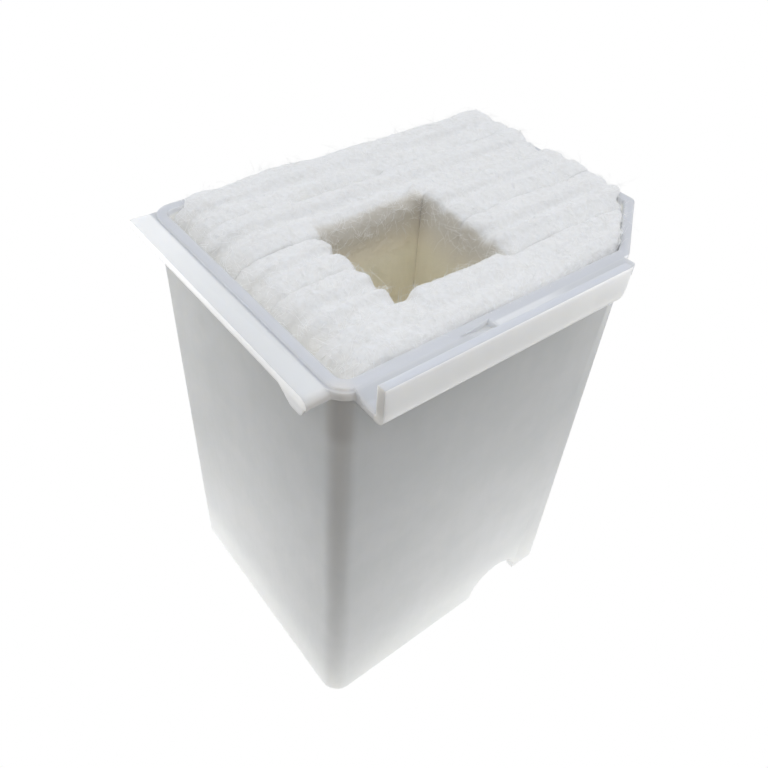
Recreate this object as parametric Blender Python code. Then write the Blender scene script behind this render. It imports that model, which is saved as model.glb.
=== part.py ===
"""Aquarium filter box packed with folded filter floss.

A translucent moulded box, open at the top, hangs on a chamber wall by the ledge along its left
side, which turns down into a hook at its front end. A channel with a tall outer lip runs along
the box's front. The box stands on a skirt below a slotted floor, and water passes through a
round-topped notch in the skirt. Seven pads of floss, each a sheet folded in two, stand on edge
on the floor and leave a square well between them.

Frame: +X to the right along the front, +Y to the back, +Z up. The origin is the middle of the
footprint, at the level of the skirt's bottom edge. Lengths are in metres.
"""

import math

import bmesh
import bpy
from mathutils import Matrix, Vector

# Box shell
BOX_WIDTH = 0.086
BOX_DEPTH = 0.063
RIM_HEIGHT = 0.100
WALL = 0.002
CORNER_RADIUS = 0.0042
CUT_CORNER_X = 0.018
CUT_CORNER_Y = 0.0128
CUT_CORNER_RADIUS = 0.002
EDGE_ROUNDING = 0.0003

# Slotted floor, held above the skirt's bottom edge
FLOOR_TOP = 0.012
FLOOR_THICKNESS = 0.002
SLOT_LENGTH = 0.0155
SLOT_WIDTH = 0.0026
SLOT_COLUMNS = 4
SLOT_ROWS = 8

# Notch in the skirt's front
NOTCH_X = 0.0525
NOTCH_RADIUS = 0.008

# Hanging ledge along the left wall, with a hook at its front end
LEDGE_REACH = 0.0045
LEDGE_TOP = 0.0995
LEDGE_THICKNESS = 0.0017
LEDGE_FRONT = 0.0019
LEDGE_BACK = 0.0628
LEDGE_END_RADIUS = 0.0014
HOOK_LENGTH = 0.0085
HOOK_DROP = 0.0023
HOOK_THICKNESS = 0.0012

# Channel along the front wall: a floor that slopes up to the rim, a tall outer lip, a land that
# fills the middle of it flush with the rim, a shelf that runs on past the lip's right end, and
# a tapered relief beside the land
CHANNEL_REACH = 0.007
CHANNEL_LEFT = 0.0029
CHANNEL_RIGHT = 0.058
CHANNEL_BOTTOM = 0.0972
CHANNEL_FLOOR = 0.0013
LIP_TOP = 0.1048
LIP_THICKNESS = 0.0018
LIP_EDGE_RADIUS = 0.0016
LIP_END_RADIUS = 0.003
CHANNEL_SLOPE = 0.0024
LAND_LEFT = 0.0314
LAND_RIGHT = 0.0450
SHELF_RIGHT = 0.0663
SHELF_REACH = 0.003
RELIEF_LEFT = 0.0245
RELIEF_WIDTH = 0.0018
RELIEF_DEPTH = 0.0012

# Narrow band round the front left corner, joining the ledge to the channel
BAND_REACH = 0.0005

# Floss pads, each a folded sheet: two rounded lobes with a crease between them on top, and a
# fold at the bottom. The rows are counted from the front, and the pads beside the well are cut
# short of it. GAP is the clearance between pads, and between a pad and the box.
GAP = 0.0003
PAD_CREST = 0.1023
LOW_PAD_CREST = 0.1010
PAD_CROWN = 0.0018
PAD_CREASE = 0.0011
PAD_FOLD_RADIUS = 0.0025
PAD_END_RADIUS = 0.0015
ROW_THICKNESS = (0.0101, 0.0131, 0.0117, 0.0116, 0.0107)
WELL_LEFT = 0.0231
WELL_RIGHT = 0.0479

# Points along each fillet and each lobe, and how far a cutter runs past what it cuts
ARC_STEPS = 6
LOBE_STEPS = 8
CUTTER_MARGIN = 0.002

# The walls' outer faces in the part's frame
LEFT_FACE = -(BOX_WIDTH - LEDGE_REACH) / 2
FRONT_FACE = -(BOX_DEPTH - CHANNEL_REACH) / 2

# Turns an outline drawn in XY, extruded along Z, so that it lies in YZ or XZ
ALONG_X = Matrix(((0, 0, 1, 0), (1, 0, 0, 0), (0, 1, 0, 0), (0, 0, 0, 1)))
ALONG_Y = Matrix(((1, 0, 0, 0), (0, 0, -1, 0), (0, 1, 0, 0), (0, 0, 0, 1)))


def clear_scene():
    for obj in list(bpy.data.objects):
        bpy.data.objects.remove(obj, do_unlink=True)


def make_collection(name):
    collection = bpy.data.collections.new(name)
    bpy.context.scene.collection.children.link(collection)
    return collection


def make_material(name, colour, roughness):
    material = bpy.data.materials.new(name)
    material.use_nodes = True
    shader = material.node_tree.nodes["Principled BSDF"]
    shader.inputs["Base Color"].default_value = (*colour, 1)
    shader.inputs["Roughness"].default_value = roughness
    material.diffuse_color = (*colour, 1)
    return material


def rounded(corners):
    """Points of a closed outline whose corners, given as (x, y, radius), are filleted with arcs."""
    points = []
    for i, (x, y, radius) in enumerate(corners):
        corner = Vector((x, y))
        if radius == 0:
            points.append(corner)
            continue
        before = (Vector(corners[i - 1][:2]) - corner).normalized()
        after = (Vector(corners[(i + 1) % len(corners)][:2]) - corner).normalized()
        half = before.angle(after) / 2
        centre = corner + (before + after).normalized() * (radius / math.sin(half))
        start = corner + before * (radius / math.tan(half)) - centre
        end = corner + after * (radius / math.tan(half)) - centre
        turn = start.angle_signed(end)
        for step in range(ARC_STEPS + 1):
            spin = Matrix.Rotation(-turn * step / ARC_STEPS, 2)
            points.append(centre + spin @ start)
    return points


def inset(corners, distance):
    """The same anticlockwise outline moved inwards, with its radii reduced to match."""
    smallest_radius = 0.0006
    moved = []
    for i, (x, y, radius) in enumerate(corners):
        corner = Vector((x, y))
        along = (corner - Vector(corners[i - 1][:2])).normalized()
        onward = (Vector(corners[(i + 1) % len(corners)][:2]) - corner).normalized()
        bisector = (along.orthogonal() + onward.orthogonal()).normalized()
        shift = bisector * (distance / bisector.dot(along.orthogonal()))
        moved.append((x + shift.x, y + shift.y, max(radius - distance, smallest_radius)))
    return moved


def prism(name, outlines, low, high, collection, turn=None):
    """One or more closed outlines in XY, made solid from low to high, then turned."""
    curve = bpy.data.curves.new(name, "CURVE")
    curve.dimensions = "2D"
    curve.fill_mode = "BOTH"
    curve.extrude = (high - low) / 2
    for outline in outlines:
        spline = curve.splines.new("POLY")
        spline.points.add(len(outline) - 1)
        for point, (x, y) in zip(spline.points, outline):
            point.co = (x, y, 0, 1)
        spline.use_cyclic_u = True
    flat = bpy.data.objects.new(name + "_outline", curve)
    collection.objects.link(flat)
    flat.location.z = (low + high) / 2
    bpy.context.view_layer.update()
    graph = bpy.context.evaluated_depsgraph_get()
    mesh = bpy.data.meshes.new_from_object(flat.evaluated_get(graph))
    mesh.transform(flat.matrix_world)
    bpy.data.objects.remove(flat, do_unlink=True)
    if turn:
        mesh.transform(turn)
    shape = bmesh.new()
    shape.from_mesh(mesh)
    bmesh.ops.remove_doubles(shape, verts=shape.verts, dist=1e-6)
    bmesh.ops.dissolve_limit(shape, angle_limit=1e-3, verts=shape.verts, edges=shape.edges)
    bmesh.ops.recalc_face_normals(shape, faces=shape.faces)
    shape.to_mesh(mesh)
    shape.free()
    mesh.name = name
    obj = bpy.data.objects.new(name, mesh)
    collection.objects.link(obj)
    return obj


def make_helper(obj, place=(0, 0, 0)):
    obj.location = place
    obj.hide_render = True
    obj.display_type = "WIRE"
    return obj


def combine(obj, other, operation):
    modifier = obj.modifiers.new(other.name, "BOOLEAN")
    modifier.operation = operation
    modifier.solver = "EXACT"
    modifier.object = other


def apply_modifiers(obj):
    """Replaces the mesh with the one its modifiers make, so that its edges can be worked."""
    bpy.context.view_layer.update()
    graph = bpy.context.evaluated_depsgraph_get()
    mesh = bpy.data.meshes.new_from_object(obj.evaluated_get(graph))
    mesh.name = obj.name
    obj.modifiers.clear()
    obj.data = mesh


def round_level_edges(obj, heights, radius):
    """Rounds the sharp edges that lie level at the given heights, such as the rim's two edges."""
    shape = bmesh.new()
    shape.from_mesh(obj.data)
    bmesh.ops.remove_doubles(shape, verts=shape.verts, dist=1e-6)
    bmesh.ops.dissolve_limit(shape, angle_limit=1e-3, verts=shape.verts, edges=shape.edges)
    sharp = [
        edge for edge in shape.edges
        if edge.calc_face_angle(0) > math.radians(40)
        and any(all(abs(v.co.z - height) < 1e-6 for v in edge.verts) for height in heights)
    ]
    bmesh.ops.bevel(
        shape,
        geom=sharp,
        offset=radius,
        offset_type="OFFSET",
        segments=2,
        profile=0.5,
        affect="EDGES",
        clamp_overlap=True,
    )
    shape.to_mesh(obj.data)
    shape.free()


def finish(obj, material):
    obj.data.materials.clear()
    obj.data.materials.append(material)
    obj.data.shade_smooth()
    obj.data.set_sharp_from_angle(angle=math.radians(35))


# The outlines below are drawn from the box's front left corner, so helpers and the box are
# placed at that corner of the frame.
BOX_CORNER = (LEFT_FACE, FRONT_FACE, 0)

BOX_OUTLINE = [
    (0, 0, CORNER_RADIUS),
    (BOX_WIDTH - CUT_CORNER_X, 0, CUT_CORNER_RADIUS),
    (BOX_WIDTH, CUT_CORNER_Y, CUT_CORNER_RADIUS),
    (BOX_WIDTH, BOX_DEPTH, CORNER_RADIUS),
    (0, BOX_DEPTH, CORNER_RADIUS),
]


def ledge_outline():
    """The ledge seen from the left, with Y to the right and Z up: both ends are rounded."""
    bottom = LEDGE_TOP - LEDGE_THICKNESS
    return rounded([
        (LEDGE_FRONT, LEDGE_TOP, LEDGE_END_RADIUS),
        (LEDGE_FRONT, bottom, 0),
        (LEDGE_BACK, bottom, 0.0006),
        (LEDGE_BACK, LEDGE_TOP, 0.0008),
    ])


def hook_outline():
    """The hook at the ledge's front end: steep in front, a rounded tip, a long slope behind."""
    top = LEDGE_TOP - LEDGE_THICKNESS * 0.7
    tip = LEDGE_TOP - LEDGE_THICKNESS - HOOK_DROP
    return rounded([
        (LEDGE_FRONT, top, 0),
        (LEDGE_FRONT + HOOK_LENGTH * 0.18, tip, HOOK_DROP * 0.5),
        (LEDGE_FRONT + HOOK_LENGTH * 0.50, tip, HOOK_DROP * 0.8),
        (LEDGE_FRONT + HOOK_LENGTH, top, 0),
    ])


def channel_profile():
    """The channel's floor and outer lip in section, with Y to the right and Z up."""
    floor_top = CHANNEL_BOTTOM + CHANNEL_FLOOR
    inner = -CHANNEL_REACH + LIP_THICKNESS
    return rounded([
        (WALL * 0.6, CHANNEL_BOTTOM, 0),
        (WALL * 0.6, RIM_HEIGHT, 0),
        (0, RIM_HEIGHT, 0),
        (-CHANNEL_SLOPE, floor_top, 0.0012),
        (inner, floor_top, 0.0005),
        (inner, LIP_TOP, 0.0003),
        (-CHANNEL_REACH, LIP_TOP, 0.0003),
        (-CHANNEL_REACH, CHANNEL_BOTTOM, LIP_EDGE_RADIUS),
    ])


def channel_front():
    """The channel seen from the front, with X to the right and a rounded lower right corner."""
    return rounded([
        (CHANNEL_LEFT, CHANNEL_BOTTOM - CUTTER_MARGIN, 0),
        (CHANNEL_RIGHT - 2 * LIP_END_RADIUS, CHANNEL_BOTTOM - CUTTER_MARGIN, 0),
        (CHANNEL_RIGHT - 2 * LIP_END_RADIUS, CHANNEL_BOTTOM, 0),
        (CHANNEL_RIGHT, CHANNEL_BOTTOM, LIP_END_RADIUS),
        (CHANNEL_RIGHT, LIP_TOP + CUTTER_MARGIN, 0),
        (CHANNEL_LEFT, LIP_TOP + CUTTER_MARGIN, 0),
    ])


def slot_outlines():
    """Round-ended slots in rows and columns, kept clear of the cut corner."""
    inside = WALL + CORNER_RADIUS
    pitch_x = (BOX_WIDTH - 2 * inside - SLOT_LENGTH) / (SLOT_COLUMNS - 1)
    pitch_y = (BOX_DEPTH - 2 * inside - SLOT_WIDTH) / (SLOT_ROWS - 1)
    outlines = []
    for column in range(SLOT_COLUMNS):
        for row in range(SLOT_ROWS):
            x = inside + column * pitch_x
            y = inside + row * pitch_y
            at_cut_corner = column == SLOT_COLUMNS - 1 and y < CUT_CORNER_Y
            if at_cut_corner:
                continue
            end = SLOT_WIDTH * 0.45
            outlines.append(rounded([
                (x, y, end),
                (x + SLOT_LENGTH, y, end),
                (x + SLOT_LENGTH, y + SLOT_WIDTH, end),
                (x, y + SLOT_WIDTH, end),
            ]))
    return outlines


def make_box(parts, cutters, plastic):
    """The whole moulding: shell, slotted floor and skirt, ledge with its hook, channel, band."""
    box = prism("filter_box", [rounded(BOX_OUTLINE)], 0, RIM_HEIGHT, parts)
    box.location = BOX_CORNER

    ledge = prism("ledge_shape", [ledge_outline()], -LEDGE_REACH, WALL, cutters, ALONG_X)
    combine(box, make_helper(ledge, BOX_CORNER), "UNION")

    outer = -LEDGE_REACH
    hook = prism("hook_shape", [hook_outline()], outer, outer + HOOK_THICKNESS, cutters, ALONG_X)
    combine(box, make_helper(hook, BOX_CORNER), "UNION")

    channel = prism(
        "channel_shape", [channel_profile()], CHANNEL_LEFT, CHANNEL_RIGHT, cutters, ALONG_X
    )
    reach = CHANNEL_REACH + CUTTER_MARGIN
    ends = prism("channel_end_shape", [channel_front()], -WALL, reach, cutters, ALONG_Y)
    combine(channel, make_helper(ends, BOX_CORNER), "INTERSECT")
    combine(box, make_helper(channel, BOX_CORNER), "UNION")

    land_front = -CHANNEL_REACH + LIP_THICKNESS / 2
    land_outline = rounded([
        (LAND_LEFT, land_front, 0),
        (LAND_RIGHT, land_front, 0),
        (LAND_RIGHT, WALL * 0.7, 0),
        (LAND_LEFT, WALL * 0.7, 0),
    ])
    land_low = CHANNEL_BOTTOM + CHANNEL_FLOOR / 2
    land = prism("land_shape", [land_outline], land_low, RIM_HEIGHT, cutters)
    combine(box, make_helper(land, BOX_CORNER), "UNION")

    shelf_outline = rounded([
        (LAND_LEFT + SHELF_REACH, -SHELF_REACH, 0),
        (SHELF_RIGHT, -SHELF_REACH, 0.0008),
        (SHELF_RIGHT, WALL * 0.7, 0),
        (LAND_LEFT + SHELF_REACH, WALL * 0.7, 0),
    ])
    shelf = prism("shelf_shape", [shelf_outline], land_low, RIM_HEIGHT, cutters)
    combine(box, make_helper(shelf, BOX_CORNER), "UNION")

    relief_outline = rounded([
        (RELIEF_LEFT, 0, 0),
        (LAND_LEFT, -RELIEF_WIDTH / 2, 0),
        (LAND_LEFT, RELIEF_WIDTH / 2, 0),
    ])
    relief_low = RIM_HEIGHT - RELIEF_DEPTH
    above_rim = RIM_HEIGHT + CUTTER_MARGIN
    relief = prism("relief_cut", [relief_outline], relief_low, above_rim, cutters)
    combine(box, make_helper(relief, BOX_CORNER), "DIFFERENCE")

    # A disc about the corner's centre. Its fillets stop just short of meeting one another.
    band_radius = CORNER_RADIUS + BAND_REACH
    near = CORNER_RADIUS - band_radius
    far = CORNER_RADIUS + band_radius
    fillet = band_radius * 0.98
    band_outline = rounded([
        (near, near, fillet),
        (far, near, fillet),
        (far, far, fillet),
        (near, far, fillet),
    ])
    band_low = LEDGE_TOP - LEDGE_THICKNESS
    band = prism("band_shape", [band_outline], band_low, RIM_HEIGHT - BAND_REACH, cutters)
    combine(box, make_helper(band, BOX_CORNER), "UNION")

    inside = rounded(inset(BOX_OUTLINE, WALL))
    chamber = prism("chamber_cut", [inside], FLOOR_TOP, above_rim, cutters)
    combine(box, make_helper(chamber, BOX_CORNER), "DIFFERENCE")
    floor_low = FLOOR_TOP - FLOOR_THICKNESS
    skirt = prism("skirt_cut", [inside], -CUTTER_MARGIN, floor_low, cutters)
    combine(box, make_helper(skirt, BOX_CORNER), "DIFFERENCE")

    slot_low = floor_low - CUTTER_MARGIN
    slots = prism("slot_cut", slot_outlines(), slot_low, FLOOR_TOP + CUTTER_MARGIN, cutters)
    combine(box, make_helper(slots, BOX_CORNER), "DIFFERENCE")

    fillet = NOTCH_RADIUS * 0.99
    notch_outline = rounded([
        (NOTCH_X - NOTCH_RADIUS, -CUTTER_MARGIN, 0),
        (NOTCH_X + NOTCH_RADIUS, -CUTTER_MARGIN, 0),
        (NOTCH_X + NOTCH_RADIUS, NOTCH_RADIUS, fillet),
        (NOTCH_X - NOTCH_RADIUS, NOTCH_RADIUS, fillet),
    ])
    reach = WALL + CUTTER_MARGIN
    notch = prism("notch_cut", [notch_outline], -reach, CUTTER_MARGIN, cutters, ALONG_Y)
    combine(box, make_helper(notch, BOX_CORNER), "DIFFERENCE")

    apply_modifiers(box)
    round_level_edges(box, (RIM_HEIGHT, LEDGE_TOP, 0), EDGE_ROUNDING)
    finish(box, plastic)


def pad_profile(thickness, crest):
    """A folded sheet seen from its end: two rounded lobes on top and a rounded fold below."""
    shoulder = crest - PAD_CROWN
    crease = crest - PAD_CREASE
    ply = thickness / 2
    foot = FLOOR_TOP + GAP
    fold = rounded([
        (-ply, shoulder - PAD_CROWN, 0),
        (-ply, foot, PAD_FOLD_RADIUS),
        (ply, foot, PAD_FOLD_RADIUS),
        (ply, shoulder - PAD_CROWN, 0),
    ])
    crown = []
    for step in range(2 * LOBE_STEPS + 1):
        share = step / LOBE_STEPS
        y = ply * (1 - share)
        lift = math.sqrt(abs(math.sin(math.pi * share)))
        z = shoulder + PAD_CROWN * lift
        if 0.5 < share < 1.5:
            z = max(z, crease)
        crown.append(Vector((y, z)))
    return fold + crown


def pad_plan(left, right, front, back):
    """A pad seen from above. A right end that would meet the cut corner is cut along it."""
    radius = PAD_END_RADIUS
    room = inset(BOX_OUTLINE, WALL + GAP)
    cut_start = Vector(room[1][:2])
    cut_end = Vector(room[2][:2])
    slope = (cut_end.x - cut_start.x) / (cut_end.y - cut_start.y)
    right_at_front = min(right, cut_start.x + slope * (front - cut_start.y))
    right_at_back = min(right, cut_start.x + slope * (back - cut_start.y))
    back_radius = radius * 0.3 if right_at_back < right else radius
    return rounded([
        (left, front, radius),
        (right_at_front, front, radius),
        (right_at_back, back, back_radius),
        (left, back, radius),
    ])


def make_pad(name, left, right, row, crest, parts, cutters, floss):
    """A folded pad in the row counted from the front, with its origin under its middle."""
    thickness = ROW_THICKNESS[row]
    front = WALL + GAP + sum(ROW_THICKNESS[:row]) + GAP * row
    middle = front + thickness / 2
    centre = (left + right) / 2
    place = (LEFT_FACE + centre, FRONT_FACE + middle, 0)

    half = (right - left) / 2
    pad = prism(name, [pad_profile(thickness, crest)], -half, half, parts, ALONG_X)
    pad.location = place
    plan = [
        (point.x - centre, point.y - middle)
        for point in pad_plan(left, right, front, front + thickness)
    ]
    outline = prism(name + "_plan", [plan], 0, PAD_CREST + CUTTER_MARGIN, cutters)
    combine(pad, make_helper(outline, place), "INTERSECT")
    finish(pad, floss)


def main():
    clear_scene()
    parts = make_collection("sponge_filter")
    cutters = make_collection("sponge_filter_cutters")
    cutters.hide_render = True
    plastic = make_material("milky_plastic", (0.80, 0.82, 0.82), 0.35)
    floss = make_material("white_floss", (0.90, 0.90, 0.91), 0.95)

    make_box(parts, cutters, plastic)

    left_end = WALL + GAP
    right_end = BOX_WIDTH - WALL - GAP
    pads = (
        ("floss_pad_front", left_end, right_end, 0, PAD_CREST),
        ("floss_pad_left_front", left_end, WELL_LEFT, 1, LOW_PAD_CREST),
        ("floss_pad_right_front", WELL_RIGHT, right_end, 1, PAD_CREST),
        ("floss_pad_left_rear", left_end, WELL_LEFT, 2, LOW_PAD_CREST),
        ("floss_pad_right_rear", WELL_RIGHT, right_end, 2, PAD_CREST),
        ("floss_pad_behind_well", left_end, right_end, 3, PAD_CREST),
        ("floss_pad_back", left_end, right_end, 4, PAD_CREST),
    )
    for name, left, right, row, crest in pads:
        make_pad(name, left, right, row, crest, parts, cutters, floss)


main()
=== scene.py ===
import math

import bmesh
import bpy
import numpy as np
from mathutils import Euler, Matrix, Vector, noise
from mathutils.bvhtree import BVHTree


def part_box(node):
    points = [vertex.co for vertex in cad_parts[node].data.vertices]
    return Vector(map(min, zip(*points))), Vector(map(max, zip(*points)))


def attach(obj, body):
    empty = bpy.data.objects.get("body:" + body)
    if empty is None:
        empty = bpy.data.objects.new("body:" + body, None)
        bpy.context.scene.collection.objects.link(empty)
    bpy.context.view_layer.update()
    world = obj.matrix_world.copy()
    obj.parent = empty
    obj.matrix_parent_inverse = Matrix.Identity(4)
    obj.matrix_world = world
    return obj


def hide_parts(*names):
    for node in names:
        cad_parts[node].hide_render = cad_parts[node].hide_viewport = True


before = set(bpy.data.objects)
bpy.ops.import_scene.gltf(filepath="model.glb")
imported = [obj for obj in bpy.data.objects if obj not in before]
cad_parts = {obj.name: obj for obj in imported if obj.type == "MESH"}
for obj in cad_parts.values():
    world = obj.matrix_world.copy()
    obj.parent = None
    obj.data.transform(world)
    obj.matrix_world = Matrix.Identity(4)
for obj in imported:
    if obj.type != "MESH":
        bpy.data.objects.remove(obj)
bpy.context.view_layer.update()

# ---------------------------------------------------------------- places, in metres
BOX_LOW, BOX_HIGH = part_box("filter_box")
BOX_HEIGHT = BOX_HIGH.z - BOX_LOW.z
BOX_RIM = 0.100
LEFT_FACE = -0.04075
FRONT_FACE = -0.028
LIP_BACK = -0.0330
LIP_LOW = 0.0972
WELL_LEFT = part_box("floss_pad_left_front")[1].x
WELL_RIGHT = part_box("floss_pad_right_front")[0].x
WELL_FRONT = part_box("floss_pad_front")[1].y
WELL_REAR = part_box("floss_pad_behind_well")[0].y

# Meshes: how close two points are to be one, and the angle in degrees of a sharp corner
WELD_DISTANCE = 1e-6
SHARP_ANGLE = 30

# ---------------------------------------------------------------- looks
# A pair is a smooth change: the value where it starts, and the value where it is complete
TURNED = (0.5, 0.9)
TURNED_AWAY = (-0.5, -0.9)

# Zones of the plastic, where light and shade are painted. The ledge, channel and lip stand out from
# the walls, near the top
OUTER_PARTS_Z = (0.084, 0.088)
CHANNEL_Y = (FRONT_FACE, FRONT_FACE - 0.0006)
LEDGE_X = (LEFT_FACE, LEFT_FACE - 0.0006)
LIP_Y = (LIP_BACK + 0.0003, LIP_BACK)
LIP_EDGE_Z = (LIP_LOW + 0.0030, LIP_LOW + 0.0014)
RIM_Z = (BOX_RIM - 0.0016, BOX_RIM - 0.0006)
RIM_STEP_Z = (BOX_RIM - 0.0026, BOX_RIM - 0.0022)
LEDGE_END_Y = (-0.01, 0.034)
NEAR_CORNER_X = (LEFT_FACE + 0.0045, LEFT_FACE)
NEAR_CORNER_Y = (FRONT_FACE + 0.0045, FRONT_FACE)
CORNER_WALL_Z = (0.02, 0.09)
BAND_LOW_Z = (0.086, 0.090)
BAND_TOP_Z = (0.0994, 0.0984)
THIN_PATCH_LEFT_X = (-0.0094, -0.0086)
THIN_PATCH_RIGHT_X = (0.010, 0.002)
INSIDE_X = (LEFT_FACE + 0.001, LEFT_FACE + 0.0018)
INSIDE_Y = (FRONT_FACE + 0.001, FRONT_FACE + 0.0018)
INSIDE_Z = (0.075, 0.094)

PLASTIC_TINTS = {
    "dull": (0.80, 0.812, 0.80, 1),
    "bright": (0.845, 0.85, 0.838, 1),
    "flow mark": (0.77, 0.782, 0.77, 1),
    # painted light: the thin ledge is tinted lighter than the walls
    "ledge": (0.85, 0.86, 0.87, 1),
    # painted shade: the channel is tinted darker and cooler than the walls
    "channel": (0.655, 0.67, 0.705, 1),
    # painted light: the thin lip is tinted lighter than the walls
    "lip": (0.93, 0.92, 0.90, 1),
    # painted shade: the lip's upward faces are tinted darker and cooler
    "lip top": (0.72, 0.74, 0.79, 1),
    # painted shade: the lip's left end faces are tinted darker
    "lip end": (0.70, 0.69, 0.66, 1),
    # painted shade: the rim is tinted darker and cooler than the walls
    "rim": (0.655, 0.67, 0.715, 1),
    # painted shade: the near corner and the band round it are browner and darker
    "near corner": (0.80, 0.765, 0.715, 1),
    "corner band": (0.62, 0.595, 0.56, 1),
    "speck": (0.22, 0.20, 0.17, 1),
}
PLASTIC_GLOW_COLOUR = (1.0, 0.99, 0.97, 1)
SPECKS_PER_METRE = 75.0
SPECK_SPREAD = 7.31
SPECK_SHARE = 0.86

# Zones of the floss where shade is painted: the well's mouth, its back wall, and the pads' left
# ends
MOUTH_LEFT_X = (WELL_LEFT - 0.001, WELL_LEFT)
MOUTH_RIGHT_X = (WELL_RIGHT + 0.001, WELL_RIGHT)
MOUTH_FRONT_Y = (WELL_FRONT - 0.001, WELL_FRONT)
MOUTH_REAR_Y = (WELL_REAR + 0.003, WELL_REAR + 0.001)
MOUTH_Z = (0.1018, 0.0992)
WELL_BACK_Y = (WELL_REAR - 0.004, WELL_REAR - 0.001)
LEFT_END_X = (-0.0300, -0.0365)
LEFT_END_Z = (0.1008, 0.0975)
# heights where the painted bounce light deep in the floss starts and where it is complete
DEEP_BOUNCE_Z = (BOX_RIM - 0.002, BOX_RIM - 0.013)

FLOSS_TINTS = {
    "dull": (0.905, 0.897, 0.88, 1),
    "bright": (0.97, 0.965, 0.952, 1),
    "patch": (0.92, 0.912, 0.89, 1),
    # painted shade: darker and warmer down into the well's mouth
    "mouth": (0.82, 0.785, 0.71, 1),
    # painted shade: darkest on the well's back wall
    "well back": (0.60, 0.565, 0.50, 1),
    # painted shade: darker where the pads' left ends roll down to the rim
    "left end": (0.80, 0.785, 0.75, 1),
    # painted bounce light: deep down the floss is tinted yellow
    "painted_deep_bounce": (0.96, 0.90, 0.75, 1),
}
DEEP_BOUNCE_GLOW_COLOUR = (1.0, 0.90, 0.66, 1)
FIBRE_DULL = (0.92, 0.92, 0.90, 1)
FIBRE_BRIGHT = (0.98, 0.98, 0.98, 1)

# ---------------------------------------------------------------- floss
# How a pad is simulated. Cloth is tuned for things a metre across, so a pad is made SIM_SCALE
# times as large for it. SIM_CAP is the furthest that a point may move
VOXEL = 0.0012
SIM_SCALE = 10.0
SIM_FRAMES = 20
SIM_CAP = 0.0011
SHRINK = 0.0002
SEAM_HOLD = 0.85
SEAM_HOLD_SHARE = 0.06
HELD_BELOW = 0.004
LEAST_WEIGHT = 0.01
CLOTH = {
    "quality": 4,
    "mass": 0.15,
    "tension_stiffness": 6,
    "compression_stiffness": 6,
    "shear_stiffness": 3,
    "bending_stiffness": 0.8,
    "use_pressure": True,
    "uniform_pressure_force": 6.0,
    "vertex_group_mass": "held",
}

# How the folded floss is shaped. LOOSE_DEPTH is how much of a pad's top is loose, FINE_DEPTH how
# much of it has the finer mesh, and PRESSED_DEPTH how deep the pads press on one another
LOOSE_DEPTH = 0.016
FINE_DEPTH = 0.011
PRESSED_DEPTH = 0.045
CLEARANCE = 0.00008
NEIGHBOUR_BULGE = 0.00035
NEAR_SIDE = (0.0030, 0.0008)
FLAT_SIDE = (0.0030, 0.0010)
FLAT_BELOW = (0.002, 0.006)
OVER_RIM_Z = (BOX_RIM + 0.0001, BOX_RIM + 0.0009)
OVER_WELL_BELOW = (0.010, 0.005)
SCALLOP_REACH = 0.004
FRONT_PLY_SHARE = (0.75, 0.25)
WELL_FADE_OUT = 0.0005
WELL_FADE_IN = 0.0025
CREASE_DEPTH = 0.0015
CREASE_REACH = 0.0020
CREASE_FILL_REACH = 0.008
CREASE_LEFT_OPEN = 0.3
WANDER = 0.0006
WANDER_PER_METRE = (70, 120)
WANDER_SLICE = 3.7

# Displacement of the refined mesh: name, size of the texture, and height from low to high
MATTING = (
    ("lumps", 0.0070, 0.00060),
    ("tufts", 0.0020, 0.00036),
    ("fibre", 0.0006, 0.00026),
)

# Loose fibres: how many, how long and how thick, how they bend, and where they stand
FIBRE_COUNT_PER_MM2 = 0.9
FIBRE_LENGTH = 0.0030
FIBRE_RADIUS = 0.000036
FIBRE_DEPTH = 0.008
FIBRE_STEPS = 6
FIBRE_SIDES = 3
FIBRE_CURL = 0.5
FIBRE_SWAY = 0.6
FIBRE_ARCH = 0.45
FIBRE_TAPER = 0.6
FIBRE_LENGTHS = (0.4, 1.2)
FIBRE_LIFTS = (0.05, 0.55)
FIBRE_LEAST_UPWARD = -0.2

# What a pad's top does at an edge: how far in it starts to drop, how much it drops, and whether
# it meets the edge level, like a crease between two pads, or rolls over it
SEAM = (0.0030, 0.0016, "level")
VALLEY = (0.0045, 0.0030, "level")
AT_RIM = (0.0030, 0.0008, "rolled")
FRONT_RIM = (0.0070, 0.0026, "rolled")
LEFT_END = (0.0105, 0.0062, "rolled")
WELL_EDGE = (0.0035, 0.0020, "rolled")
WELL_BACK = (0.0065, 0.0044, "rolled")

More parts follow.
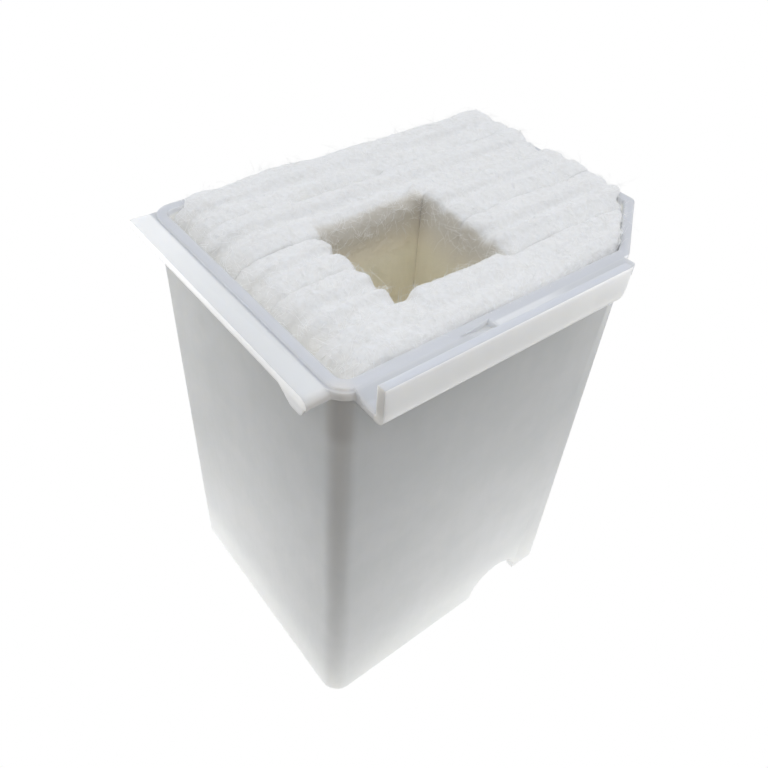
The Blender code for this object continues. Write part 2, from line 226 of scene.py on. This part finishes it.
# Each pad: the body it rides on, its four edges, how much lower its front ply is than its back
# ply, how far its plies' ends are scalloped, and how far its loose top bulges out over an edge.
# The front pad and the one behind the well have another edge where they border the well. The
# two pads right of the well stand flat against it.
PADS = {
    "floss_pad_front": {
        "body": "pad_front",
        "edges": {"front": FRONT_RIM, "back": VALLEY, "left": LEFT_END, "right": AT_RIM},
        "lower_front": 0.0004, "scallop": {"left": 0.0004, "right": 0.0004},
        "over": {"right": 0.0014},
        "well_side": "back", "well_edge": WELL_EDGE, "over_well": 0.0016,
    },
    "floss_pad_left_front": {
        "body": "pad_left_front",
        "edges": {"front": VALLEY, "back": SEAM, "left": LEFT_END, "right": WELL_EDGE},
        "lower_front": 0.0003, "scallop": {"left": 0.0005, "right": 0.0010},
    },
    "floss_pad_left_rear": {
        "body": "pad_left_rear",
        "edges": {"front": SEAM, "back": SEAM, "left": LEFT_END, "right": WELL_EDGE},
        "lower_front": 0.0, "scallop": {"left": 0.0005, "right": 0.0010},
    },
    "floss_pad_right_front": {
        "body": "pad_right_front",
        "edges": {"front": VALLEY, "back": SEAM, "left": WELL_EDGE, "right": AT_RIM},
        "lower_front": 0.0003, "scallop": {"left": 0.0, "right": 0.0009}, "flat_left": 0.9,
        "over": {"right": 0.0020},
    },
    "floss_pad_right_rear": {
        "body": "pad_right_rear",
        "edges": {"front": SEAM, "back": SEAM, "left": WELL_EDGE, "right": AT_RIM},
        "lower_front": 0.0, "scallop": {"left": 0.0, "right": 0.0009}, "flat_left": 0.9,
        "over": {"right": 0.0020},
    },
    "floss_pad_behind_well": {
        "body": "pad_behind_well",
        "edges": {"front": SEAM, "back": SEAM, "left": LEFT_END, "right": AT_RIM},
        "lower_front": 0.0012, "scallop": {"left": 0.0005, "right": 0.0009},
        "over": {"right": 0.0020},
        "well_side": "front", "well_edge": WELL_BACK, "over_well": 0.0,
    },
    "floss_pad_back": {
        "body": "pad_back",
        "edges": {"front": SEAM, "back": AT_RIM, "left": LEFT_END, "right": AT_RIM},
        "lower_front": 0.0005, "scallop": {"left": 0.0005, "right": 0.0009},
        "over": {"right": 0.0020, "back": 0.0014},
    },
}


# ---------------------------------------------------------------- material helpers
class Nodes:
    """The node tree of a new material or of a world, with short calls for joining nodes."""

    def __init__(self, owner):
        if isinstance(owner, str):
            owner = bpy.data.materials.new(owner)
            owner.use_nodes = True
        self.material = owner
        self.tree = owner.node_tree
        self.shader = self.tree.nodes.get("Principled BSDF")
        self.output = self.tree.nodes.get("Material Output")

    def add(self, kind, settings=None, **inputs):
        """Adds a node, with its settings and inputs. An input is a value or another's output."""
        node = self.tree.nodes.new(kind)
        for key, value in (settings or {}).items():
            setattr(node, key, value)
        for key, value in inputs.items():
            self.set(node, key.replace("_", " "), value)
        return node

    def set(self, node, socket, value):
        target = node.inputs[int(socket)] if socket.isdigit() else node.inputs[socket]
        if isinstance(value, bpy.types.NodeSocket):
            self.tree.links.new(value, target)
        elif isinstance(value, bpy.types.Node):
            self.tree.links.new(value.outputs[0], target)
        else:
            target.default_value = value

    def shade(self, **inputs):
        """Sets inputs of the material's shader."""
        for key, value in inputs.items():
            self.set(self.shader, key.replace("_", " "), value)

    def math(self, operation, first, second=0.0):
        node = self.tree.nodes.new("ShaderNodeMath")
        node.operation = operation
        self.set(node, "0", first)
        self.set(node, "1", second)
        return node.outputs[0]

    def times(self, *values):
        """The product of the values."""
        product = values[0]
        for value in values[1:]:
            product = self.math("MULTIPLY", product, value)
        return product

    def without(self, value, other):
        """The value where the other is 0, and 0 where the other is 1."""
        return self.times(value, self.math("SUBTRACT", 1.0, other))

    def axes(self, vector):
        """A vector's X, Y and Z."""
        node = self.add("ShaderNodeSeparateXYZ", Vector=vector)
        return [node.outputs[axis] for axis in "XYZ"]

    def ramp(self, value, low, high, to_low=0.0, to_high=1.0):
        """Maps low..high of a value to to_low..to_high, smoothly and clamped."""
        node = self.tree.nodes.new("ShaderNodeMapRange")
        node.interpolation_type = "SMOOTHSTEP"
        self.set(node, "Value", value)
        self.set(node, "From Min", low)
        self.set(node, "From Max", high)
        self.set(node, "To Min", to_low)
        self.set(node, "To Max", to_high)
        return node.outputs["Result"]

    def mix(self, factor, first, second):
        node = self.tree.nodes.new("ShaderNodeMix")
        node.data_type = "RGBA"
        self.set(node, "0", factor)
        self.set(node, "6", first)
        self.set(node, "7", second)
        return node.outputs[2]

    def layered(self, base, layers, tints):
        """The base colour, with each layer's named tint mixed over it by the layer's share."""
        for share, name in layers:
            base = self.mix(share, base, tints[name])
        return base

    def noise(self, place, scale, detail=4.0, roughness=0.55, distortion=0.0, kind="FBM"):
        node = self.tree.nodes.new("ShaderNodeTexNoise")
        node.noise_type = kind
        self.set(node, "Vector", place)
        self.set(node, "Scale", scale)
        self.set(node, "Detail", detail)
        self.set(node, "Roughness", roughness)
        self.set(node, "Distortion", distortion)
        return node.outputs[0]

    def stretched(self, place, scale, turn=(0, 0, 0)):
        """The place scaled along each axis and turned, in degrees, for a pattern with a grain."""
        node = self.tree.nodes.new("ShaderNodeMapping")
        self.set(node, "Vector", place)
        self.set(node, "Scale", scale)
        self.set(node, "Rotation", tuple(math.radians(a) for a in turn))
        return node.outputs[0]

    def bump(self, height, distance, strength, normal=None):
        node = self.tree.nodes.new("ShaderNodeBump")
        self.set(node, "Height", height)
        self.set(node, "Distance", distance)
        self.set(node, "Strength", strength)
        if normal is not None:
            self.set(node, "Normal", normal)
        return node.outputs[0]


def plastic_material():
    """Milky polypropylene: light scatters in the walls, with flow marks, specks and scuffs."""
    n = Nodes("milky_plastic_looks")
    geometry = n.add("ShaderNodeNewGeometry")
    place = geometry.outputs["Position"]
    x, y, z = n.axes(place)
    facing_x, facing_y, facing_z = n.axes(geometry.outputs["Normal"])
    to_left = n.ramp(facing_x, *TURNED_AWAY)
    to_front = n.ramp(facing_y, *TURNED_AWAY)
    upward = n.ramp(facing_z, *TURNED)

    high = n.ramp(z, *OUTER_PARTS_Z)
    channel = n.times(n.ramp(y, *CHANNEL_Y), high)
    ledge = n.times(n.ramp(x, *LEDGE_X), high)
    lip = n.times(n.ramp(y, *LIP_Y), high)
    thin = n.math("MAXIMUM", channel, ledge)
    rim = n.without(n.ramp(z, *RIM_Z), thin)
    near_corner = n.times(n.ramp(x, *NEAR_CORNER_X), n.ramp(y, *NEAR_CORNER_Y))
    band = n.times(n.ramp(z, *BAND_LOW_Z), n.ramp(z, *BAND_TOP_Z))

    clouds = n.noise(place, 90, 3, 0.6)
    flow = n.noise(n.stretched(place, (1, 1, 0.12)), 420, 4, 0.6)
    cells = n.add("ShaderNodeTexVoronoi", Vector=place, Scale=SPECKS_PER_METRE)
    speck = n.ramp(cells.outputs["Distance"], 0.018, 0.030, 1, 0)
    draw = n.math("FRACT", n.times(cells.outputs["Color"], SPECK_SPREAD))
    few = n.math("GREATER_THAN", draw, SPECK_SHARE)

    # Painted shade: the near corner is browner and darker than the walls, most of all in the band
    # round it
    layers = (
        (n.ramp(clouds, 0.3, 0.7), "bright"),
        (n.ramp(flow, 0.35, 0.75, 0, 0.18), "flow mark"),
        # painted light on the ledge
        (n.times(ledge, 0.6), "ledge"),
        # painted shade in the channel
        (n.times(channel, 0.8), "channel"),
        # painted light on the lip
        (lip, "lip"),
        # painted shade on the lip's top
        (n.times(lip, upward), "lip top"),
        # painted shade on the lip's left end
        (n.times(lip, to_left), "lip end"),
        # painted shade on the rim
        (n.times(rim, 0.8), "rim"),
        (n.times(near_corner, n.ramp(z, *CORNER_WALL_Z, 0.2, 0.9)), "near corner"),
        (n.times(near_corner, band), "corner band"),
        (n.times(speck, few), "speck"),
    )
    n.shade(Base_Color=n.layered(PLASTIC_TINTS["dull"], layers, PLASTIC_TINTS))

    # A faint glow stands in for light that comes through the plastic: in the lip and its lower
    # edge, the ledge's far end and outer edge, the steps up to the rim, the near corner, a patch
    # of the channel's floor, and the inside of the walls below the rim
    step = n.times(n.ramp(z, *RIM_STEP_Z), n.math("MAXIMUM", to_left, to_front))
    patch = n.times(n.ramp(x, *THIN_PATCH_LEFT_X), n.ramp(x, *THIN_PATCH_RIGHT_X))
    inside = n.without(n.times(n.ramp(x, *INSIDE_X), n.ramp(y, *INSIDE_Y)), rim)
    glows = (
        n.times(lip, to_front, n.ramp(flow, 0.3, 0.7, 0.035, 0.055)),
        n.times(lip, n.ramp(z, *LIP_EDGE_Z, 0, 0.085)),
        n.times(ledge, n.ramp(y, *LEDGE_END_Y, 0, 0.15)),
        n.times(ledge, to_left, 0.22),
        n.times(step, 0.10),
        n.times(n.without(near_corner, thin), 0.065),
        n.times(n.math("SUBTRACT", channel, lip), patch, 0.13),
        n.times(inside, n.ramp(z, *INSIDE_Z, 0, 0.05)),
    )
    glow = glows[0]
    for more in glows[1:]:
        glow = n.math("ADD", glow, more)
    n.shade(Emission_Color=PLASTIC_GLOW_COLOUR, Emission_Strength=glow)

    scuff = n.noise(n.stretched(place, (1, 1, 0.25), (12, 8, 30)), 900, 5, 0.65)
    n.shade(Roughness=n.ramp(scuff, 0.35, 0.75, 0.34, 0.50), IOR=1.49)
    n.shade(Subsurface_Weight=1.0, Subsurface_Radius=(1.0, 0.97, 0.90), Subsurface_Scale=0.0022)

    waves = n.noise(n.stretched(place, (1, 1, 0.5)), 38, 2, 0.5)
    rounding = n.add("ShaderNodeBevel", {"samples": 4}, Radius=0.00045)
    normal = n.bump(waves, 0.0008, 0.18, rounding)
    n.shade(Normal=n.bump(scuff, 0.00006, 0.25, normal))
    return n.material


def floss_material():
    """Matted white polyester fibre: mottled, fibrous, with a soft sheen and scattered light."""
    n = Nodes("white_floss_looks")
    place = n.add("ShaderNodeNewGeometry").outputs["Position"]
    x, y, z = n.axes(place)
    mottle = n.noise(place, 900, 4, 0.62, 0.3)
    patches = n.noise(place, 160, 3, 0.5)
    streaks = n.noise(n.stretched(place, (1, 1, 0.10)), 420, 3, 0.6)

    # Painted bounce light: deep down the floss is tinted yellow, and a dim warm glow stands in for
    # light that has passed through the floss into the well
    across = n.times(n.ramp(x, *MOUTH_LEFT_X), n.ramp(x, *MOUTH_RIGHT_X))
    along = n.times(n.ramp(y, *MOUTH_FRONT_Y), n.ramp(y, *MOUTH_REAR_Y))
    mouth = n.times(across, along, n.ramp(z, *MOUTH_Z))
    ends = n.times(n.ramp(x, *LEFT_END_X), n.ramp(z, *LEFT_END_Z))
    deep = n.ramp(z, *DEEP_BOUNCE_Z)
    # Painted shade: the well's mouth, its back wall and the pads' left ends are darker and warmer
    layers = (
        (n.ramp(mottle, 0.35, 0.68), "bright"),
        (n.ramp(patches, 0.35, 0.7, 0, 0.25), "patch"),
        (n.times(mouth, 0.75), "mouth"),
        (n.times(mouth, n.ramp(y, *WELL_BACK_Y), 0.6), "well back"),
        (n.times(ends, 0.7), "left end"),
        (deep, "painted_deep_bounce"),
    )
    n.shade(Base_Color=n.layered(FLOSS_TINTS["dull"], layers, FLOSS_TINTS))
    # painted bounce light: a dim warm glow deep in the floss
    painted_deep_bounce = n.times(deep, n.ramp(streaks, 0.3, 0.7, 0.012, 0.036))
    n.shade(Emission_Color=DEEP_BOUNCE_GLOW_COLOUR, Emission_Strength=painted_deep_bounce)
    n.shade(Roughness=0.95, Specular_IOR_Level=0.15, Sheen_Weight=0.25, Sheen_Roughness=0.6)
    n.shade(Subsurface_Weight=0.8, Subsurface_Radius=(1.0, 0.97, 0.92), Subsurface_Scale=0.0008)

    fibres = []
    for turn in ((10, 20, 15), (50, -30, 75), (-40, 60, 130)):
        along_fibre = n.stretched(place, (1, 0.14, 1), turn)
        fibres.append(n.noise(along_fibre, 2600, 3, 0.6, 0.6, "RIDGED_MULTIFRACTAL"))
    mat = n.math("ADD", n.math("ADD", fibres[0], fibres[1]), fibres[2])
    normal = n.bump(mottle, 0.0005, 0.4)
    n.shade(Normal=n.bump(mat, 0.00010, 0.45, normal))
    return n.material


def fibre_material():
    """Single loose fibres: white, with a faint glow that stands in for light through them."""
    n = Nodes("loose_fibre_looks")
    place = n.add("ShaderNodeNewGeometry").outputs["Position"]
    shade = n.noise(place, 600, 2)
    n.shade(Base_Color=n.mix(n.ramp(shade, 0.35, 0.65), FIBRE_DULL, FIBRE_BRIGHT))
    n.shade(Roughness=0.6, Specular_IOR_Level=0.3)
    n.shade(Emission_Color=(1, 1, 1, 1), Emission_Strength=n.ramp(shade, 0.3, 0.7, 0.06, 0.16))
    return n.material


# ---------------------------------------------------------------- floss pads
def smoothstep(low, high, value):
    t = np.clip((value - low) / (high - low), 0, 1)
    return t * t * (3 - 2 * t)


def points_of(mesh):
    points = np.empty(len(mesh.vertices) * 3)
    mesh.vertices.foreach_get("co", points)
    return points.reshape(-1, 3)


def set_points(mesh, points):
    mesh.vertices.foreach_set("co", np.ascontiguousarray(points).ravel())
    mesh.update()


def evaluated_mesh(obj, name):
    bpy.context.view_layer.update()
    graph = bpy.context.evaluated_depsgraph_get()
    mesh = bpy.data.meshes.new_from_object(obj.evaluated_get(graph))
    mesh.name = name
    return mesh


def replace_mesh(obj, mesh):
    old = obj.data
    obj.modifiers.clear()
    obj.data = mesh
    bpy.data.meshes.remove(old)


def remeshed_copy(node, name):
    """The CAD solid as a new object of even quads."""
    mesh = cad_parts[node].data.copy()
    mesh.name = name
    mesh.materials.clear()
    obj = bpy.data.objects.new(name, mesh)
    bpy.context.scene.collection.objects.link(obj)
    weld = obj.modifiers.new("weld", "WELD")
    weld.merge_threshold = WELD_DISTANCE
    remesh = obj.modifiers.new("even_quads", "REMESH")
    remesh.mode = "VOXEL"
    remesh.voxel_size = VOXEL
    replace_mesh(obj, evaluated_mesh(obj, name))
    return obj


def lobes(share):
    """How far out the rounded ends of the two plies reach, from 0 in a crease to 1.

    share is the place across the pad, from 0 at its front to 1 at its back.
    """
    return np.sqrt(np.abs(np.sin(2 * np.pi * np.clip(share, 0, 1))))


def edge_drop(inward, reach, drop, kind):
    """How far a pad's top has dropped at a distance inward from one of its edges."""
    t = np.clip(1 - inward / reach, 0, 1)
    if kind == "level":
        return drop * smoothstep(0, 1, t)
    return drop * (1 - np.sqrt(1 - t * t))


def distances_inward(points, low, high):
    """Each point's distance from the pad's four upright sides, 0 or more."""
    x, y = points[:, 0], points[:, 1]
    sides = {"left": x - low.x, "right": high.x - x, "front": y - low.y, "back": high.y - y}
    return {side: np.maximum(distance, 0) for side, distance in sides.items()}


def top_heights(mesh, low, high):
    """The height of the pad's top straight above or below each of its points."""
    tree = BVHTree.FromPolygons(
        [v.co for v in mesh.vertices], [tuple(p.vertices) for p in mesh.polygons]
    )
    inside = VOXEL / 2
    heights = []
    for vertex in mesh.vertices:
        x = min(max(vertex.co.x, low.x + inside), high.x - inside)
        y = min(max(vertex.co.y, low.y + inside), high.y - inside)
        hit = tree.ray_cast(Vector((x, y, high.z + 1)), Vector((0, 0, -1)))[0]
        heights.append(hit.z if hit and hit.z > high.z - LOOSE_DEPTH / 2 else high.z - VOXEL)
    return np.array(heights)


def beside_well(x):
    """1 for places that border the well, falling to 0 at its two ends."""
    inside = smoothstep(WELL_LEFT - WELL_FADE_OUT, WELL_LEFT + WELL_FADE_IN, x)
    return inside * smoothstep(WELL_RIGHT + WELL_FADE_OUT, WELL_RIGHT - WELL_FADE_IN, x)


def shape_folds(obj, pad, low, high):
    """Gives the pad's top its two uneven ridges, dropped at each edge, and scalloped ends."""
    points = points_of(obj.data)
    x, y, z = points.T
    inward = distances_inward(points, low, high)
    share = (y - low.y) / (high.y - low.y)
    along, across = WANDER_PER_METRE
    places = [Vector((px * along, py * across, WANDER_SLICE)) for px, py in zip(x, y)]
    wander = np.array([noise.noise(place) for place in places])

    # Where a pad's end bulges over the rim, its creases are nearly filled
    crease_depth = 1.0
    if "right" in pad.get("over", {}):
        fill = 1 - CREASE_LEFT_OPEN
        crease_depth = smoothstep(0.0, CREASE_FILL_REACH, inward["right"]) * fill + CREASE_LEFT_OPEN
    top = high.z + WANDER * wander - pad["lower_front"] * smoothstep(*FRONT_PLY_SHARE, share)
    middle = np.abs(y - (low.y + high.y) / 2)
    top = top - edge_drop(middle, CREASE_REACH, CREASE_DEPTH, "level") * crease_depth
    for side, edge in pad["edges"].items():
        drop = edge_drop(inward[side], *edge) * (crease_depth if edge == SEAM else 1.0)
        if side == pad.get("well_side"):
            at_well = beside_well(x)
            drop = drop * (1 - at_well) + edge_drop(inward[side], *pad["well_edge"]) * at_well
        top = top - drop

    base = high.z - LOOSE_DEPTH
    stretch = (top - base) / (top_heights(obj.data, low, high) - base)
    z = np.where(z > base, base + (z - base) * stretch, z)

    ends = 1 - lobes(share)
    for side, sign in (("left", 1), ("right", -1)):
        x = x + sign * pad["scallop"][side] * ends * smoothstep(SCALLOP_REACH, 0.0, inward[side])
    set_points(obj.data, np.stack([x, y, z], axis=1))


def below_top(high, depths, z):
    """Smooth change from 0 to 1 between two depths below the pad's highest point."""
    return smoothstep(high.z - depths[0], high.z - depths[1], z)


def bulge_over(points, pad, low, high):
    """Lets the loose top bulge out over the rim and the well, and meet the pad next to it."""
    inward = distances_inward(points, low, high)
    height = points[:, 2]
    above_rim = smoothstep(*OVER_RIM_Z, height)
    at_top = below_top(high, OVER_WELL_BELOW, height)
    pressed = below_top(high, (PRESSED_DEPTH, PRESSED_DEPTH * 0.8), height)
    at_well = beside_well(points[:, 0])
    flat = pad.get("flat_left", 0) * smoothstep(*FLAT_SIDE, inward["left"])
    flat = flat * below_top(high, FLAT_BELOW, height)
    points[:, 0] += (low.x + CLEARANCE - points[:, 0]) * flat
    sides = {
        "left": (0, low.x, -1),
        "right": (0, high.x, 1),
        "front": (1, low.y, -1),
        "back": (1, high.y, 1),
    }
    for side, (axis, wall, sign) in sides.items():
        near = smoothstep(*NEAR_SIDE, inward[side])
        if pad["edges"][side] in (SEAM, VALLEY):
            gap = wall + sign * NEIGHBOUR_BULGE - points[:, axis]
            points[:, axis] += gap * near * pressed * (1 - at_well)
        if side in pad.get("over", {}):
            gap = wall + sign * pad["over"][side] - points[:, axis]
            points[:, axis] += gap * near * above_rim
        if side == pad.get("well_side"):
            points[:, axis] += sign * pad["over_well"] * near * at_top * at_well
    return points


def hold_base(obj, start, low, high):
    """Holds the pad's base and the crease between its plies, so that only its top is loose."""
    held = obj.vertex_groups.new(name="held")
    share = (start[:, 1] - low.y) / (high.y - low.y)
    depth = below_top(high, (HELD_BELOW, LOOSE_DEPTH), start[:, 2])
    seam = smoothstep(SEAM_HOLD_SHARE, 0.0, np.abs(share - 0.5)) * SEAM_HOLD
    for index, weight in enumerate(np.maximum(depth, seam)):
        if weight > LEAST_WEIGHT:
            held.add([index], float(weight), "REPLACE")


def simulate(obj, low, high):
    """Puffs the loose top of the pad out with Cloth pressure, and caps how far a point moves."""
    mesh = obj.data
    start = points_of(mesh)
    normals = np.empty(len(mesh.vertices) * 3)
    mesh.vertices.foreach_get("normal", normals)
    slim = start - normals.reshape(-1, 3) * SHRINK
    set_points(mesh, slim * SIM_SCALE)
    hold_base(obj, start, low, high)

    cloth = obj.modifiers.new("puff", "CLOTH")
    for key, value in CLOTH.items():
        setattr(cloth.settings, key, value)
    cloth.settings.effector_weights.gravity = 0
    cloth.collision_settings.use_collision = False
    cloth.point_cache.frame_start = 1
    cloth.point_cache.frame_end = SIM_FRAMES
    scene = bpy.context.scene
    for step in range(1, SIM_FRAMES + 1):
        scene.frame_set(step)
    puffed = evaluated_mesh(obj, obj.name)
    scene.frame_set(1)
    obj.vertex_groups.clear()
    replace_mesh(obj, puffed)

    moved = points_of(puffed) / SIM_SCALE - slim
    length = np.linalg.norm(moved, axis=1, keepdims=True)
    moved *= np.minimum(1, SIM_CAP / np.maximum(length, 1e-9))
    set_points(puffed, slim + moved)


def refine_top(obj, high):
    """One subdivision for the whole pad, and one more for the top, where the light falls."""
    smooth = obj.modifiers.new("smooth", "SUBSURF")
    smooth.levels = smooth.render_levels = 1
    mesh = evaluated_mesh(obj, obj.name)
    shape = bmesh.new()
    shape.from_mesh(mesh)
    top = [e for e in shape.edges if min(v.co.z for v in e.verts) > high.z - FINE_DEPTH]
    bmesh.ops.subdivide_edges(shape, edges=top, cuts=1, smooth=0.6, use_grid_fill=True)
    shape.to_mesh(mesh)
    shape.free()
    replace_mesh(obj, mesh)


def matted(obj, pad, low, high):
    """Lumps, tufts and matted fibre, as displacement of the refined mesh, kept in its place."""
    for name, size, strength in MATTING:
        texture = bpy.data.textures.new(f"{obj.name}_{name}", "CLOUDS")
        texture.noise_scale = size
        texture.noise_depth = 2
        displace = obj.modifiers.new(name, "DISPLACE")
        displace.texture = texture
        displace.texture_coords = "GLOBAL"
        displace.strength = strength
        displace.mid_level = 0.5
    mesh = evaluated_mesh(obj, obj.name)
    replace_mesh(obj, mesh)
    points = points_of(mesh)
    for axis in (0, 1):
        room = (low[axis] + CLEARANCE, high[axis] - CLEARANCE)
        points[:, axis] = np.clip(points[:, axis], *room)
    set_points(mesh, bulge_over(points, pad, low, high))


def fibre_tube(shape, spot, normal, heading, curl, length, lift):
    """Adds one thin tube that arches up from spot along heading, and closes its ends."""
    rings = []
    for step in range(FIBRE_STEPS + 1):
        t = step / FIBRE_STEPS
        arch = math.sin(math.pi * min(t * 1.1, 1)) * lift * length * FIBRE_ARCH
        centre = spot + (heading + curl * t * FIBRE_SWAY) * (t * length) + normal * arch
        side = heading.cross(normal).normalized()
        radius = FIBRE_RADIUS * (1 - FIBRE_TAPER * t)
        angles = [math.tau * k / FIBRE_SIDES for k in range(FIBRE_SIDES)]
        ring = [centre + (side * math.cos(a) + normal * math.sin(a)) * radius for a in angles]
        rings.append([shape.verts.new(point) for point in ring])
    for first, second in zip(rings, rings[1:]):
        for k in range(FIBRE_SIDES):
            m = (k + 1) % FIBRE_SIDES
            shape.faces.new((first[k], first[m], second[m], second[k]))
    shape.faces.new(rings[0][::-1])
    shape.faces.new(rings[-1])


def loose_fibres(obj, body, material, low, high):
    """Fine curved fibres that stand out of the pad's top, as thin tubes in one mesh."""
    mesh = obj.data
    rng = np.random.default_rng(int(1e6 * (low.y + 1)) + int(1e6 * (low.x + 1)))
    near_top = [f for f in mesh.polygons if f.center.z > high.z - FIBRE_DEPTH]
    faces = [f for f in near_top if f.normal.z > FIBRE_LEAST_UPWARD]
    areas = np.array([f.area for f in faces])
    count = int(areas.sum() * 1e6 * FIBRE_COUNT_PER_MM2)
    picks = rng.choice(len(faces), count, p=areas / areas.sum())
    shape = bmesh.new()
    for pick in picks:
        normal = Vector(faces[pick].normal)
        heading = Vector(rng.normal(size=3)).cross(normal).normalized()
        curl = Vector(rng.normal(size=3)) * FIBRE_CURL
        length = FIBRE_LENGTH * rng.uniform(*FIBRE_LENGTHS)
        lift = rng.uniform(*FIBRE_LIFTS)
        spot = faces[pick].center - normal * FIBRE_RADIUS * 3
        fibre_tube(shape, spot, normal, heading, curl, length, lift)
    fibre_mesh = bpy.data.meshes.new(obj.name + "_fibres")
    bmesh.ops.recalc_face_normals(shape, faces=shape.faces)
    shape.to_mesh(fibre_mesh)
    shape.free()
    fibre_mesh.materials.append(material)
    fibre_mesh.shade_smooth()
    fibres = bpy.data.objects.new(obj.name + "_fibres", fibre_mesh)
    bpy.context.scene.collection.objects.link(fibres)
    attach(fibres, body)


def floss_pad(node, pad, floss, fibre):
    low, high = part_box(node)
    obj = remeshed_copy(node, node + "_floss")
    shape_folds(obj, pad, low, high)
    simulate(obj, low, high)
    refine_top(obj, high)
    matted(obj, pad, low, high)
    obj.data.materials.append(floss)
    obj.data.shade_smooth()
    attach(obj, pad["body"])
    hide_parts(node)
    loose_fibres(obj, pad["body"], fibre, low, high)


# ---------------------------------------------------------------- the box
def dress_box(plastic):
    """The box keeps its CAD mesh: its seams are welded, smooth round arcs and sharp at corners."""
    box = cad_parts["filter_box"]
    box.data.materials.clear()
    box.data.materials.append(plastic)
    box.data.shade_smooth()
    weld = box.modifiers.new("weld", "WELD")
    weld.merge_threshold = WELD_DISTANCE
    split = box.modifiers.new("sharp_corners", "EDGE_SPLIT")
    split.split_angle = math.radians(SHARP_ANGLE)


# ---------------------------------------------------------------- studio
# The view: the camera stands above the front left corner, close to the box
CAMERA_PLACE = (-0.0870, -0.0910, 0.1761)
CAMERA_TURN = (46.775, -3.171, -38.072)
CAMERA_LENS = 34.8

# The world's light: cool from overhead, and weaker from some headings at the horizon
SKY_STRENGTH = 1.37
SKY_COLOUR = (0.957, 0.978, 1.015, 1)
OVERHEAD = (0.35, 0.95)
SIDE_SPREAD = (0.2, 0.95)
SIDE_STRENGTHS = {(0, -1, 0): 0.08, (-0.7, -0.7, 0): 0.18, (1, 0, 0): 0.34, (0, 1, 0): 0.44}

# The floor's glow: bright by the box's foot, weaker round it and faint far off
FLOOR_NEAR = 0.72
FLOOR_MIDDLE = 0.255
FLOOR_FAR = 0.045
FLOOR_NEAR_REACH = (0.052, 0.095)
FLOOR_MIDDLE_REACH = (0.06, 0.18)

# Two small soft lamps: place, and power in watts
LAMP_SIZE = 0.08
LAMPS = {
    "left_light": ((-0.14, 0.12, 0.06), 0.127),
    "right_light": ((0.15, -0.15, 0.06), 0.137),
}


def white_floor():
    """A pale floor that reads as white, and lights the box most strongly near its foot."""
    bpy.ops.mesh.primitive_plane_add(size=6, location=(0, 0, BOX_LOW.z - 0.0002))
    floor = bpy.context.object
    floor.name = "floor"
    n = Nodes("floor_looks")
    place = n.add("ShaderNodeNewGeometry").outputs["Position"]
    length = n.add("ShaderNodeVectorMath", {"operation": "LENGTH"})
    n.set(length, "0", place)
    distance = length.outputs["Value"]
    glow = n.ramp(distance, *FLOOR_MIDDLE_REACH, FLOOR_MIDDLE, FLOOR_FAR)
    glow = n.math("ADD", glow, n.ramp(distance, *FLOOR_NEAR_REACH, FLOOR_NEAR, 0))
    path = n.add("ShaderNodeLightPath").outputs["Is Camera Ray"]
    emission = n.add("ShaderNodeEmission", Strength=n.math("MAXIMUM", glow, path))
    n.tree.links.new(emission.outputs[0], n.output.inputs["Surface"])
    n.tree.nodes.remove(n.shader)
    floor.data.materials.append(n.material)


def white_world():
    """White to the camera. As light it is bright and cool overhead, and weak from the sides."""
    world = bpy.data.worlds.new("studio")
    bpy.context.scene.world = world
    world.use_nodes = True
    n = Nodes(world)
    place = n.add("ShaderNodeTexCoord").outputs["Generated"]
    height = n.axes(place)[2]
    overhead = n.ramp(height, *OVERHEAD)
    sides = 0.0
    for heading, strength in SIDE_STRENGTHS.items():
        towards = n.add("ShaderNodeVectorMath", {"operation": "DOT_PRODUCT"})
        n.set(towards, "0", place)
        n.set(towards, "1", heading)
        side = n.ramp(towards.outputs["Value"], *SIDE_SPREAD, 0, strength)
        sides = n.math("ADD", sides, side)
    glow = n.math("ADD", n.times(overhead, SKY_STRENGTH), n.without(sides, overhead))
    path = n.add("ShaderNodeLightPath").outputs["Is Camera Ray"]
    background = n.tree.nodes["Background"]
    n.set(background, "Color", n.mix(path, SKY_COLOUR, (1, 1, 1, 1)))
    n.set(background, "Strength", n.math("MAXIMUM", glow, path))


def lamp(name, place, power):
    """A round soft lamp that points at the middle of the box."""
    light = bpy.data.lights.new(name, "AREA")
    light.shape = "DISK"
    light.size = LAMP_SIZE
    light.energy = power
    obj = bpy.data.objects.new(name, light)
    bpy.context.scene.collection.objects.link(obj)
    obj.location = place
    heading = Vector((0, 0, BOX_HEIGHT / 2)) - Vector(place)
    obj.rotation_euler = heading.to_track_quat("-Z", "Y").to_euler()
    obj.visible_camera = False


def studio():
    white_floor()
    white_world()
    for name, (place, power) in LAMPS.items():
        lamp(name, place, power)
    view = bpy.context.scene.view_settings
    view.view_transform = "Standard"
    view.look = "None"
    view.exposure = 0.0
    view.gamma = 1.0


def camera():
    data = bpy.data.cameras.new("camera")
    data.sensor_width = 36
    data.lens = CAMERA_LENS
    data.clip_start = 0.005
    obj = bpy.data.objects.new("camera", data)
    bpy.context.scene.collection.objects.link(obj)
    obj.location = CAMERA_PLACE
    obj.rotation_euler = Euler(tuple(math.radians(a) for a in CAMERA_TURN))
    bpy.context.scene.camera = obj


def main():
    dress_box(plastic_material())
    floss = floss_material()
    fibre = fibre_material()
    for node, pad in PADS.items():
        floss_pad(node, pad, floss, fibre)
    studio()
    camera()


main()
